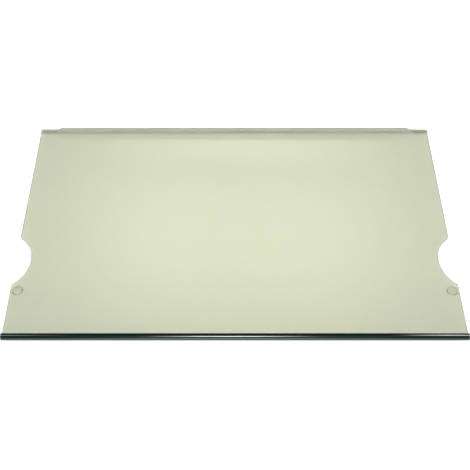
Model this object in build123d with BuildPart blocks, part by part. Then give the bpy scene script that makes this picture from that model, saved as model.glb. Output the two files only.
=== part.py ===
from build123d import *
from math import sqrt, tan, radians
import os

# Pull-out glass shelf of a fridge, in millimetres, lying flat as it does on its side ribs.
# X runs along the width, Y from the front edge to the rear edge, and Z is up.
# The origin is under the middle of the shelf, on the plane that its trims and stops stand on.

# Glass pane
glass_width = 475.0
glass_depth = 299.0
glass_thickness = 4.0
glass_corner_radius = 4.0
ground_edge = 0.5

# Arc notch in each side, which lets the shelf pass the ribs when it is moved to another height
notch_radius = 41.4
notch_depth = 15.9
notch_from_front = 98.5
notch_mouth_radius = 1.2

# Everything under the pane reaches down to one plane, this far below the glass
foot_height = 2.0

# Clear buttons bonded under the pane, tapering downwards, which stop the shelf from being pulled right out
stop_diameter = 12.0
stop_draft = 40.0
stop_edge_radius = 0.6
stop_inset = 7.2
stop_from_notch_mouth = 6.4
glue_line = 0.1

# Gap between the rim of the glass and the bottom of either channel
rim_clearance = 0.1

# Dark front trim: a channel with closed ends, whose upper face slopes down to a round nose
trim_upper_wall = 1.5
trim_top_slope = 7.0
trim_nose_wall = 1.6
trim_end_wall = 0.8
trim_lap = 3.9
trim_slot_clearance = 0.25
trim_slot_corner_radius = 0.4
trim_leg_radius = 0.5
trim_end_radius = 0.6
grip_bead_width = 0.8
grip_bead_inset = 0.9

# Clear rear strip: a channel with an upstanding lip along the front edge of its upper leg
strip_back_wall = 1.5
strip_upper_wall = 1.2
strip_lap = 5.4
strip_lower_lap = 1.6
strip_slot_clearance = 0.1
strip_corner_radius = 2.5
strip_rim_radius = 0.4
lip_height = 8.8
lip_thickness = 1.5
lip_end_setback = 17.4
lip_end_slope = 40.0
lip_end_radius = 1.5
lip_top_radius = 0.5
lip_root_radius = 0.8

# Heights
glass_bottom_z = foot_height
glass_top_z = glass_bottom_z + glass_thickness
trim_top_z = glass_top_z + trim_upper_wall
flange_top_z = glass_top_z + strip_upper_wall
lip_top_z = glass_top_z + lip_height

# Places from front to rear
overall_depth = trim_nose_wall + rim_clearance + glass_depth + rim_clearance + strip_back_wall
front_y = -overall_depth / 2
rear_y = overall_depth / 2
glass_front_y = front_y + trim_nose_wall + rim_clearance
glass_rear_y = glass_front_y + glass_depth
glass_middle_y = (glass_front_y + glass_rear_y) / 2
trim_rear_y = glass_front_y + trim_lap
strip_front_y = glass_rear_y - strip_lap
lower_leg_front_y = glass_rear_y - strip_lower_lap

# The notches are cut by circles centred outside the pane
notch_y = glass_front_y + notch_from_front
notch_centre_x = glass_width / 2 + notch_radius - notch_depth
notch_half_mouth = sqrt(notch_radius**2 - (notch_radius - notch_depth) ** 2)
stop_x = glass_width / 2 - stop_inset
stop_y = notch_y - notch_half_mouth - stop_from_notch_mouth


with BuildPart() as glass_pane:
    with BuildSketch(Plane.XY.offset(glass_bottom_z)) as pane_outline:
        with Locations((0, glass_middle_y)):
            RectangleRounded(glass_width, glass_depth, glass_corner_radius)
        with Locations((-notch_centre_x, notch_y), (notch_centre_x, notch_y)):
            Circle(notch_radius, mode=Mode.SUBTRACT)
        notch_reach = notch_half_mouth + notch_mouth_radius
        mouth_corners = pane_outline.vertices().filter_by_position(
            Axis.Y, notch_y - notch_reach, notch_y + notch_reach
        )
        fillet(mouth_corners, notch_mouth_radius)
    extrude(amount=glass_thickness)
    rims = glass_pane.edges().group_by(Axis.Z)
    chamfer(rims[0] + rims[-1], ground_edge)

glass_pane.part.label = "glass_pane"


with BuildPart() as front_trim:
    nose_radius = trim_top_z / 2
    nose_middle = (front_y + nose_radius, nose_radius)
    with BuildSketch(Plane.YZ) as trim_section:
        with BuildLine():
            nose = CenterArc(nose_middle, nose_radius, 90 + trim_top_slope, 180 - trim_top_slope)
            crown = nose @ 0
            trim_rear_top_z = crown.Y + (trim_rear_y - crown.X) * tan(radians(trim_top_slope))
            Polyline(crown, (trim_rear_y, trim_rear_top_z), (trim_rear_y, 0), nose @ 1)
        make_face()
        fillet(trim_section.vertices().group_by(Axis.X)[-1], trim_leg_radius)
    trim_length = glass_width + 2 * (rim_clearance + trim_end_wall)
    extrude(amount=trim_length / 2, both=True)
    end_rims = front_trim.faces().filter_by(Axis.X).edges()
    fillet(end_rims, trim_end_radius)

    # The slot stops short of both ends, so that they stay closed over the corners of the glass
    slot_floor_y = glass_front_y - rim_clearance
    slot_bottom_z = glass_bottom_z - trim_slot_clearance
    slot_height = glass_thickness + 2 * trim_slot_clearance
    with BuildSketch(Plane.YZ) as trim_slot:
        with Locations((slot_floor_y, slot_bottom_z)):
            Rectangle(trim_rear_y - slot_floor_y, slot_height, align=(Align.MIN, Align.MIN))
        slot_corners = trim_slot.vertices().group_by(Axis.X)[0]
        fillet(slot_corners, trim_slot_corner_radius)
    slot_length = glass_width + 2 * rim_clearance
    extrude(amount=slot_length / 2, both=True, mode=Mode.SUBTRACT)

    # A flat-topped bead on each leg bears on the glass and holds the trim on
    bead_y = trim_rear_y - grip_bead_inset
    with BuildSketch(Plane.YZ) as grip_beads:
        with Locations((bead_y, slot_bottom_z)):
            Rectangle(grip_bead_width, trim_slot_clearance, align=(Align.MAX, Align.MIN))
        with Locations((bead_y, glass_top_z)):
            Rectangle(grip_bead_width, trim_slot_clearance, align=(Align.MAX, Align.MIN))
    extrude(amount=slot_length / 2, both=True)

front_trim.part.label = "front_trim"


with BuildPart() as rear_strip:
    # Section across the strip: a bar, whose upper leg reaches further forward and carries the lip
    strip_depth = rear_y - strip_front_y
    upper_leg_z = glass_top_z + strip_slot_clearance
    with BuildSketch(Plane.YZ) as strip_section:
        with Locations((lower_leg_front_y, 0)):
            Rectangle(rear_y - lower_leg_front_y, flange_top_z, align=(Align.MIN, Align.MIN))
        with Locations((strip_front_y, upper_leg_z)):
            Rectangle(strip_depth, flange_top_z - upper_leg_z, align=(Align.MIN, Align.MIN))
            Rectangle(lip_thickness, lip_top_z - upper_leg_z, align=(Align.MIN, Align.MIN))
        lip_root = (strip_front_y + lip_thickness, flange_top_z)
        fillet(strip_section.vertices().sort_by_distance(lip_root)[0], lip_root_radius)
        fillet(strip_section.vertices().group_by(Axis.Y)[-1], lip_top_radius)
        fillet(strip_section.vertices().group_by(Axis.Y)[0], strip_rim_radius)
        upper_rear = (rear_y, flange_top_z)
        fillet(strip_section.vertices().sort_by_distance(upper_rear)[0], strip_rim_radius)
    extrude(amount=glass_width / 2, both=True)

    # Seen from the front, the lip slopes down to the bar before it reaches the ends
    end_x = glass_width / 2
    lip_foot_x = end_x - lip_end_setback
    lip_top_x = lip_foot_x - (lip_top_z - flange_top_z) / tan(radians(lip_end_slope))
    with BuildSketch(Plane.XZ) as strip_front_view:
        with BuildLine():
            right_half = Polyline(
                (0, 0),
                (end_x, 0),
                (end_x, flange_top_z),
                (lip_foot_x, flange_top_z),
                (lip_top_x, lip_top_z),
                (0, lip_top_z),
            )
            mirror(right_half, about=Plane.YZ)
        make_face()
        fillet(strip_front_view.vertices().group_by(Axis.Y)[-1], lip_end_radius)
    extrude(amount=overall_depth, both=True, mode=Mode.INTERSECT)

    # Seen from above, the rear corners are round
    with BuildSketch() as strip_plan:
        with Locations((0, strip_front_y)):
            Rectangle(glass_width, strip_depth, align=(Align.CENTER, Align.MIN))
        fillet(strip_plan.vertices().group_by(Axis.Y)[-1], strip_corner_radius)
    extrude(amount=lip_top_z, mode=Mode.INTERSECT)

    # The slot for the rear edge of the glass runs out at both ends
    strip_slot_floor_y = glass_rear_y + rim_clearance
    with BuildSketch(Plane.YZ) as strip_slot:
        with Locations((strip_slot_floor_y, glass_bottom_z - strip_slot_clearance)):
            Rectangle(
                strip_slot_floor_y - strip_front_y,
                glass_thickness + 2 * strip_slot_clearance,
                align=(Align.MAX, Align.MIN),
            )
    extrude(amount=glass_width / 2, both=True, mode=Mode.SUBTRACT)

rear_strip.part.label = "rear_strip"


os.makedirs("parts", exist_ok=True)
for piece in (glass_pane, front_trim, rear_strip):
    export_step(piece.part, f"parts/{piece.part.label}.step")

for side, label in ((-1, "left_stop"), (1, "right_stop")):
    with BuildPart() as stop:
        stop_height = glass_bottom_z - glue_line
        stop_seat = Plane((side * stop_x, stop_y, stop_height), z_dir=(0, 0, -1))
        with BuildSketch(stop_seat):
            Circle(stop_diameter / 2)
        extrude(amount=stop_height, taper=stop_draft)
        fillet(stop.edges().sort_by(Axis.Z)[0], stop_edge_radius)
    stop.part.label = label
    export_step(stop.part, f"parts/{label}.step")
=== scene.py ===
import math

import bpy
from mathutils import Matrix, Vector

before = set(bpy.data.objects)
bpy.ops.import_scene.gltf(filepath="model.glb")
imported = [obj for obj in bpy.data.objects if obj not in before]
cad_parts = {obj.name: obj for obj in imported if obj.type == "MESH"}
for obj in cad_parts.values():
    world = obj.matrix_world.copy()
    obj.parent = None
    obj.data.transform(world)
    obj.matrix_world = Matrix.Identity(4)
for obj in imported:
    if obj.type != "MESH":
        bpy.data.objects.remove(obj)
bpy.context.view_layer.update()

WHITE = (1.0, 1.0, 1.0, 1.0)

# Camera, from the photograph's vanishing point and edges
IMAGE_SIDE = 470.0
FOCAL_PIXELS = 863.2
PRINCIPAL_X = 230.2
SENSOR_WIDTH = 36.0
CAMERA_PLACE = (-0.00493, -0.62121, 0.75025)
CAMERA_PITCH = 50.88

# White table, which the shelf stands just above so that no faces share a plane. Far away it glows more
FLOOR_SIDE = 40.0
FLOOR_DROP = 0.0005
FLOOR_COLOUR = (0.75, 0.75, 0.75, 1.0)
FLOOR_ROUGHNESS = 0.9
NEAR_REACH = 0.6
NEAR_GLOW = 0.56
FAR_REACH = 2.4
FAR_GLOW = 1.0

# White backdrop under a dark ceiling, by the sine of the elevation
HORIZON_TOP = 0.08
GAP_FOOT = 0.16
BACKDROP_TOP = 0.35
CEILING_START = 0.60
CEILING_LIGHT = 0.06

# Dark gap in the backdrop above the horizon, by how far a direction points to the front
GAP_EDGE = 0.84
GAP_CORE = 0.93

# Lamps: their power in watts is this factor times radiance and area
LAMP_POWER = 4.0
WHITE_LIGHT = (1.0, 1.0, 1.0)
WARM_LIGHT = (1.0, 0.985, 0.76)
MIDDLE = (0.0, 0.0, 0.0)
FRONT_EDGE = (0.0, -0.15, 0.0)

# Grains below are in waves per metre along each axis, and reliefs in metres

# Glass: its faces carry the tint, and inside it the absorption per metre is density times one less colour
GLASS_IOR = 1.52
GLASS_FACE_COLOUR = (0.668, 0.680, 0.571, 1.0)
GLASS_INNER_COLOUR = (0.50, 0.75, 0.45, 1.0)
GLASS_DENSITY = 16.0
WIPING_GRAIN = (9.0, 14.0, 9.0)
FACE_ROUGHNESS = (0.0, 0.03)
WAVE_GRAIN = (6.0, 3.0, 6.0)
GLASS_RELIEF = 0.00002

# Ground rims of the glass, by the size of a normal's upright part: a satin coat stands for scattered light
RIM_END = 0.80
FACE_START = 0.95
GROUND_RIM_COLOUR = (0.96, 1.0, 0.96, 1.0)
RIM_COAT_IOR = 2.4
RIM_COAT_ROUGHNESS = 0.5
GRINDING_GRAIN = (900.0, 900.0, 2600.0)
RIM_ROUGHNESS = (0.60, 0.80)
SCRATCH_GRAIN = (1400.0, 1400.0, 5000.0)

# Dark trim
TRIM_COLOUR = (0.0035, 0.0105, 0.011, 1.0)
TRIM_STREAK_COLOUR = (0.0055, 0.0145, 0.015, 1.0)
TRIM_GLOSS_TINT = (0.86, 1.0, 0.97, 1.0)
TRIM_IOR = 1.58
STREAK_GRAIN = (3.0, 1500.0, 1500.0)
CLOUD_GRAIN = (60.0, 60.0, 60.0)
TRIM_ROUGHNESS = (0.04, 0.10)
TRIM_RELIEF = 0.000006

# Clear rear strip: painted shade darkens it to its crest, measured down from its top, to its foot, measured
# from the top of the glass, and to its sawn ends, by the size of a normal's sideways part
PLASTIC_IOR = 1.49
STRIP_COLOUR = (0.945, 0.985, 0.885, 1.0)
STRIP_FLOW_COLOUR = (0.925, 0.965, 0.865, 1.0)
STRIP_CREST_PAINTED_SHADE = (0.62, 0.65, 0.575, 1.0)
CREST_FADE = 0.0040
CREST_DEPTH = 0.0018
STRIP_FOOT_PAINTED_SHADE = (0.585, 0.615, 0.535, 1.0)
FOOT_FADE = 0.0014
FOOT_DEPTH = 0.0002
STRIP_END_PAINTED_SHADE = (0.72, 0.75, 0.68, 1.0)
SIDE_END = 0.3
END_START = 0.6
FLOW_GRAIN = (12.0, 120.0, 120.0)
STRIP_ROUGHNESS = (0.45, 0.55)
STRIP_RELIEF = 0.000004

# Clear stops, bonded to the glass: the size of a normal's upright part tells flat from flank, and painted
# shade darkens the flank
BONDED_IOR = 1.20
STOP_COLOUR = (1.0, 1.0, 0.99, 1.0)
STOP_FLOW_COLOUR = (0.97, 0.98, 0.95, 1.0)
STOP_FLANK_PAINTED_SHADE = (0.74, 0.75, 0.72, 1.0)
FLAT_END = 0.95
FLANK_START = 0.70
MOTTLE_GRAIN = (350.0, 350.0, 350.0)
FLAT_ROUGHNESS = (0.04, 0.10)
FLANK_ROUGHNESS = (0.28, 0.40)
STOP_RELIEF = 0.00001

# Where most of a noise's values lie, and all of a share's
NOISE_LOW = 0.3
NOISE_HIGH = 0.7
WHOLE_SHARE = (0.0, 1.0)

# Inputs and output of a Mix node, for values and for colours
MIX_VALUE_INPUTS = (2, 3)
MIX_VALUE_OUTPUT = 0
MIX_COLOUR_INPUTS = (6, 7)
MIX_COLOUR_OUTPUT = 2


def top_of(node_name):
    """Height of a CAD node's highest point."""
    return max(Vector(corner).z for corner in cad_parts[node_name].bound_box)


def maths(tree, operation, *sources):
    """Add a math node that works on one or two sockets."""
    made = tree.nodes.new("ShaderNodeMath")
    made.operation = operation
    for source, target in zip(sources, made.inputs):
        tree.links.new(source, target)
    return made.outputs["Value"]


def ramp(tree, source, start, end, at_start, at_end, kind="LINEAR"):
    """Map a socket's values from start to end onto at_start to at_end, and hold those two beyond them."""
    made = tree.nodes.new("ShaderNodeMapRange")
    made.interpolation_type = kind
    made.inputs["From Min"].default_value = start
    made.inputs["From Max"].default_value = end
    made.inputs["To Min"].default_value = at_start
    made.inputs["To Max"].default_value = at_end
    tree.links.new(source, made.inputs["Value"])
    return made.outputs["Result"]


def fade(tree, source, start, end, least=0.0):
    """Let a share of 1 fall smoothly from start on, to the least share at end."""
    return ramp(tree, source, start, end, at_start=1.0, at_end=least, kind="SMOOTHSTEP")


def along(tree, source, axis):
    """One component of a vector socket."""
    split = tree.nodes.new("ShaderNodeSeparateXYZ")
    tree.links.new(source, split.inputs["Vector"])
    return split.outputs[axis]


class Look:
    """A node material under construction, with short ways to add and join its nodes."""

    def __init__(self, name):
        self.material = bpy.data.materials.new(name)
        self.material.use_nodes = True
        self.tree = self.material.node_tree
        self.shader = self.tree.nodes["Principled BSDF"]
        self.output = self.tree.nodes["Material Output"]

    def node(self, kind, **inputs):
        """Add a node, with some of its inputs set."""
        made = self.tree.nodes.new(kind)
        for name, value in inputs.items():
            made.inputs[name.replace("_", " ")].default_value = value
        return made

    def join(self, source, target):
        self.tree.links.new(source, target)

    def set(self, **inputs):
        """Set inputs of the shader."""
        for name, value in inputs.items():
            self.shader.inputs[name.replace("_", " ")].default_value = value

    def feed(self, source, socket_name):
        """Join a socket to an input of the shader."""
        self.join(source, self.shader.inputs[socket_name])

    def own(self, output):
        """The piece's own coordinates or normal."""
        return self.node("ShaderNodeTexCoord").outputs[output]

    def noise(self, grain, detail=3.0):
        """Noise over the piece's own coordinates."""
        scale = self.node("ShaderNodeMapping", Scale=grain)
        made = self.node("ShaderNodeTexNoise", Scale=1.0, Detail=detail)
        self.join(self.own("Object"), scale.inputs["Vector"])
        self.join(scale.outputs["Vector"], made.inputs["Vector"])
        return made.outputs["Fac"]

    def spread(self, source, span):
        """Map most of a noise onto a span of values."""
        return ramp(self.tree, source, NOISE_LOW, NOISE_HIGH, *span)

    def facing(self, axis, none, full):
        """Share by the size of a normal's part along an axis, from 0 at none to 1 at full."""
        turn = maths(self.tree, "ABSOLUTE", along(self.tree, self.own("Normal"), axis))
        return ramp(self.tree, turn, none, full, *WHOLE_SHARE)

    def height(self, none, full):
        """Share by height, from 0 at none to 1 at full."""
        return ramp(self.tree, along(self.tree, self.own("Object"), "Z"), none, full, *WHOLE_SHARE)

    def blend(self, share, first, second):
        """Mix two colours by a share, of which the first may be a socket."""
        made = self.node("ShaderNodeMix")
        made.data_type = "RGBA"
        self.join(share, made.inputs["Factor"])
        first_input, second_input = (made.inputs[index] for index in MIX_COLOUR_INPUTS)
        if isinstance(first, bpy.types.NodeSocket):
            self.join(first, first_input)
        else:
            first_input.default_value = first
        second_input.default_value = second
        return made.outputs[MIX_COLOUR_OUTPUT]

    def mix_values(self, share, first, second):
        """Mix two value sockets by a share."""
        made = self.node("ShaderNodeMix")
        self.join(share, made.inputs["Factor"])
        for source, index in zip((first, second), MIX_VALUE_INPUTS):
            self.join(source, made.inputs[index])
        return made.outputs[MIX_VALUE_OUTPUT]

    def bump(self, height, relief):
        """Raise the surface by a socket's value times the relief."""
        made = self.node("ShaderNodeBump", Distance=relief, Strength=1.0)
        self.join(height, made.inputs["Height"])
        self.feed(made.outputs["Normal"], "Normal")


def tinted_glass():
    """Float glass with a faint wave and wiping marks on its faces, and ground, frosted rims."""
    look = Look("tinted_glass_look")
    look.set(IOR=GLASS_IOR, Transmission_Weight=1.0)
    look.set(Coat_IOR=RIM_COAT_IOR, Coat_Roughness=RIM_COAT_ROUGHNESS)
    faces = look.facing("Z", RIM_END, FACE_START)
    rims = look.facing("Z", FACE_START, RIM_END)
    look.feed(rims, "Coat Weight")
    look.feed(look.blend(faces, GROUND_RIM_COLOUR, GLASS_FACE_COLOUR), "Base Color")
    wiped = look.spread(look.noise(WIPING_GRAIN, detail=5.0), FACE_ROUGHNESS)
    ground = look.spread(look.noise(GRINDING_GRAIN, detail=2.0), RIM_ROUGHNESS)
    look.feed(look.mix_values(faces, ground, wiped), "Roughness")
    wave = look.noise(WAVE_GRAIN, detail=1.0)
    scratches = look.noise(SCRATCH_GRAIN, detail=2.0)
    look.bump(look.mix_values(faces, scratches, wave), GLASS_RELIEF)
    absorb = look.node("ShaderNodeVolumeAbsorption", Color=GLASS_INNER_COLOUR, Density=GLASS_DENSITY)
    look.join(absorb.outputs["Volume"], look.output.inputs["Volume"])
    return look.material


def dark_trim():
    """Glossy dark plastic with faint streaks along its length from the die."""
    look = Look("dark_trim_look")
    look.set(IOR=TRIM_IOR, Specular_Tint=TRIM_GLOSS_TINT)
    streaks = look.noise(STREAK_GRAIN)
    clouds = look.noise(CLOUD_GRAIN, detail=4.0)
    look.feed(look.blend(streaks, TRIM_COLOUR, TRIM_STREAK_COLOUR), "Base Color")
    look.feed(look.spread(clouds, TRIM_ROUGHNESS), "Roughness")
    look.bump(streaks, TRIM_RELIEF)
    return look.material


def clear_strip():
    """Hazy clear plastic with flow marks along its length, with painted shade darkening its crest, foot and
    sawn ends.
    """
    look = Look("clear_strip_look")
    look.set(IOR=PLASTIC_IOR, Transmission_Weight=1.0)
    flow = look.noise(FLOW_GRAIN)
    strip_top = top_of("rear_strip")
    glass_top = top_of("glass_pane")
    crest_shade_share = look.height(strip_top - CREST_FADE, strip_top - CREST_DEPTH)
    foot_shade_share = look.height(glass_top + FOOT_FADE, glass_top - FOOT_DEPTH)
    end_shade_share = look.facing("X", SIDE_END, END_START)
    body = look.blend(look.spread(flow, WHOLE_SHARE), STRIP_COLOUR, STRIP_FLOW_COLOUR)
    # Painted shade darkens the crest, the foot beside the glass and the end faces
    body = look.blend(crest_shade_share, body, STRIP_CREST_PAINTED_SHADE)
    body = look.blend(foot_shade_share, body, STRIP_FOOT_PAINTED_SHADE)
    look.feed(look.blend(end_shade_share, body, STRIP_END_PAINTED_SHADE), "Base Color")
    look.feed(look.spread(flow, STRIP_ROUGHNESS), "Roughness")
    look.bump(flow, STRIP_RELIEF)
    return look.material


def clear_stop():
    """Clear moulded button with a fine mottle and a hazy flank darkened by painted shade, bonded to the
    glass above it.
    """
    look = Look("clear_stop_look")
    look.set(IOR=BONDED_IOR, Transmission_Weight=1.0)
    mottle = look.noise(MOTTLE_GRAIN)
    flank = look.facing("Z", FLAT_END, FLANK_START)
    body = look.blend(look.spread(mottle, WHOLE_SHARE), STOP_COLOUR, STOP_FLOW_COLOUR)
    # Painted shade makes the flank darker than the flat face
    look.feed(look.blend(flank, body, STOP_FLANK_PAINTED_SHADE), "Base Color")
    flat_haze = look.spread(mottle, FLAT_ROUGHNESS)
    flank_haze = look.spread(mottle, FLANK_ROUGHNESS)
    look.feed(look.mix_values(flank, flat_haze, flank_haze), "Roughness")
    look.bump(mottle, STOP_RELIEF)
    return look.material


def floor():
    """White table that keeps the shelf's shadow, and glows for the eye, for gloss and through glass."""
    bpy.ops.mesh.primitive_plane_add(size=FLOOR_SIDE, location=(0.0, 0.0, -FLOOR_DROP))
    plane = bpy.context.object
    plane.name = "floor"
    look = Look("floor_look")
    look.set(Base_Color=FLOOR_COLOUR, Roughness=FLOOR_ROUGHNESS, Specular_IOR_Level=0.0)
    look.set(Emission_Color=WHITE)
    path = look.node("ShaderNodeLightPath")
    eye_or_gloss = maths(look.tree, "MAXIMUM", path.outputs["Is Camera Ray"], path.outputs["Is Glossy Ray"])
    seen = maths(look.tree, "MAXIMUM", eye_or_gloss, path.outputs["Is Transmission Ray"])
    reach = look.node("ShaderNodeVectorMath")
    reach.operation = "LENGTH"
    look.join(look.own("Object"), reach.inputs[0])
    glow = ramp(look.tree, reach.outputs["Value"], NEAR_REACH, FAR_REACH, NEAR_GLOW, FAR_GLOW)
    look.feed(maths(look.tree, "MULTIPLY", seen, glow), "Emission Strength")
    plane.data.materials.append(look.material)


def room():
    """White to the eye, and to everything else a white backdrop with a gap in it under a dark ceiling."""
    world = bpy.data.worlds.new("room")
    bpy.context.scene.world = world
    world.use_nodes = True
    tree = world.node_tree
    background = tree.nodes["Background"]
    background.inputs["Color"].default_value = WHITE
    direction = tree.nodes.new("ShaderNodeTexCoord").outputs["Generated"]
    rise = along(tree, direction, "Z")
    to_rear = along(tree, direction, "Y")
    wall = fade(tree, rise, BACKDROP_TOP, CEILING_START, CEILING_LIGHT)
    beside_gap = fade(tree, to_rear, -GAP_EDGE, -GAP_CORE, CEILING_LIGHT)
    horizon = fade(tree, rise, HORIZON_TOP, GAP_FOOT)
    backdrop = maths(tree, "MULTIPLY", wall, maths(tree, "MAXIMUM", beside_gap, horizon))
    path = tree.nodes.new("ShaderNodeLightPath")
    strength = maths(tree, "MAXIMUM", backdrop, path.outputs["Is Camera Ray"])
    tree.links.new(strength, background.inputs["Strength"])


def soft_box(name, place, target, size, radiance, core=(0.0, 0.0), colour=WHITE_LIGHT):
    """An area light of that radiance in its core, which fades to nothing at its edges."""
    data = bpy.data.lights.new(name, "AREA")
    data.shape = "RECTANGLE"
    data.size, data.size_y = size
    data.energy = LAMP_POWER * radiance * size[0] * size[1]
    data.color = colour
    data.use_nodes = True
    tree = data.node_tree
    spot = tree.nodes.new("ShaderNodeNewGeometry").outputs["Parametric"]
    fades = []
    for axis, core_reach in zip("XY", core):
        across = ramp(tree, along(tree, spot, axis), start=0.0, end=1.0, at_start=-1.0, at_end=1.0)
        reach = maths(tree, "ABSOLUTE", across)
        fades.append(fade(tree, reach, start=core_reach, end=1.0))
    tree.links.new(maths(tree, "MULTIPLY", *fades), tree.nodes["Emission"].inputs["Strength"])
    lamp = bpy.data.objects.new(name, data)
    bpy.context.scene.collection.objects.link(lamp)
    lamp.location = place
    lamp.rotation_euler = (Vector(target) - Vector(place)).to_track_quat("-Z", "Y").to_euler()


def lamps():
    """Soft boxes round the shelf, each for the gloss that the photograph shows somewhere."""
    # Highlight on the middle of the trim's nose, with a wide fill over it
    soft_box("key", place=(0.0, -0.80, 1.5), target=FRONT_EDGE, size=(0.56, 0.6), radiance=37.0)
    soft_box("overhead", place=(0.05, -0.80, 1.6), target=(0.05, -0.15, 0.0), size=(1.5, 0.9), radiance=1.2)

    # Dull shine along the lower half of the nose
    soft_box("front", place=(0.0, -1.6, 0.18), target=FRONT_EDGE, size=(1.15, 0.36), radiance=6.8,
             core=(0.0, 0.5))

    # Sheen on the glass, broad in its middle and weaker near the rear strip
    soft_box("behind", place=(0.02, 0.987, 1.233), target=MIDDLE, size=(1.72, 1.08), radiance=2.34,
             core=(0.2, 0.0), colour=WARM_LIGHT)
    soft_box("behind_low", place=(0.03, 1.24, 1.105), target=MIDDLE, size=(1.44, 0.2), radiance=1.0,
             colour=WARM_LIGHT)

    # Highlights near the ends of the trim, from lamps that shine straight down
    soft_box("left", place=(-0.80, -0.05, 1.4), target=(-0.80, -0.05, 0.0), size=(0.84, 0.5), radiance=8.6)
    soft_box("right", place=(0.575, 0.0, 1.4), target=(0.575, 0.0, 0.0), size=(0.30, 0.8), radiance=12.2)


def camera():
    """Camera at the photograph's place, tilted down, with its frame shifted as the photograph's is."""
    data = bpy.data.cameras.new("camera")
    data.sensor_width = SENSOR_WIDTH
    data.lens = FOCAL_PIXELS / IMAGE_SIDE * SENSOR_WIDTH
    data.shift_x = (IMAGE_SIDE / 2 - PRINCIPAL_X) / IMAGE_SIDE
    eye = bpy.data.objects.new("camera", data)
    bpy.context.scene.collection.objects.link(eye)
    eye.location = CAMERA_PLACE
    eye.rotation_euler = (math.radians(90.0 - CAMERA_PITCH), 0.0, 0.0)
    bpy.context.scene.camera = eye


def dress(node_name, material):
    """Give a CAD node one material."""
    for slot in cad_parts[node_name].material_slots:
        slot.material = material


stop_look = clear_stop()
dress("glass_pane", tinted_glass())
dress("front_trim", dark_trim())
dress("rear_strip", clear_strip())
dress("left_stop", stop_look)
dress("right_stop", stop_look)

floor()
room()
lamps()
camera()

bpy.context.scene.view_settings.view_transform = "Standard"
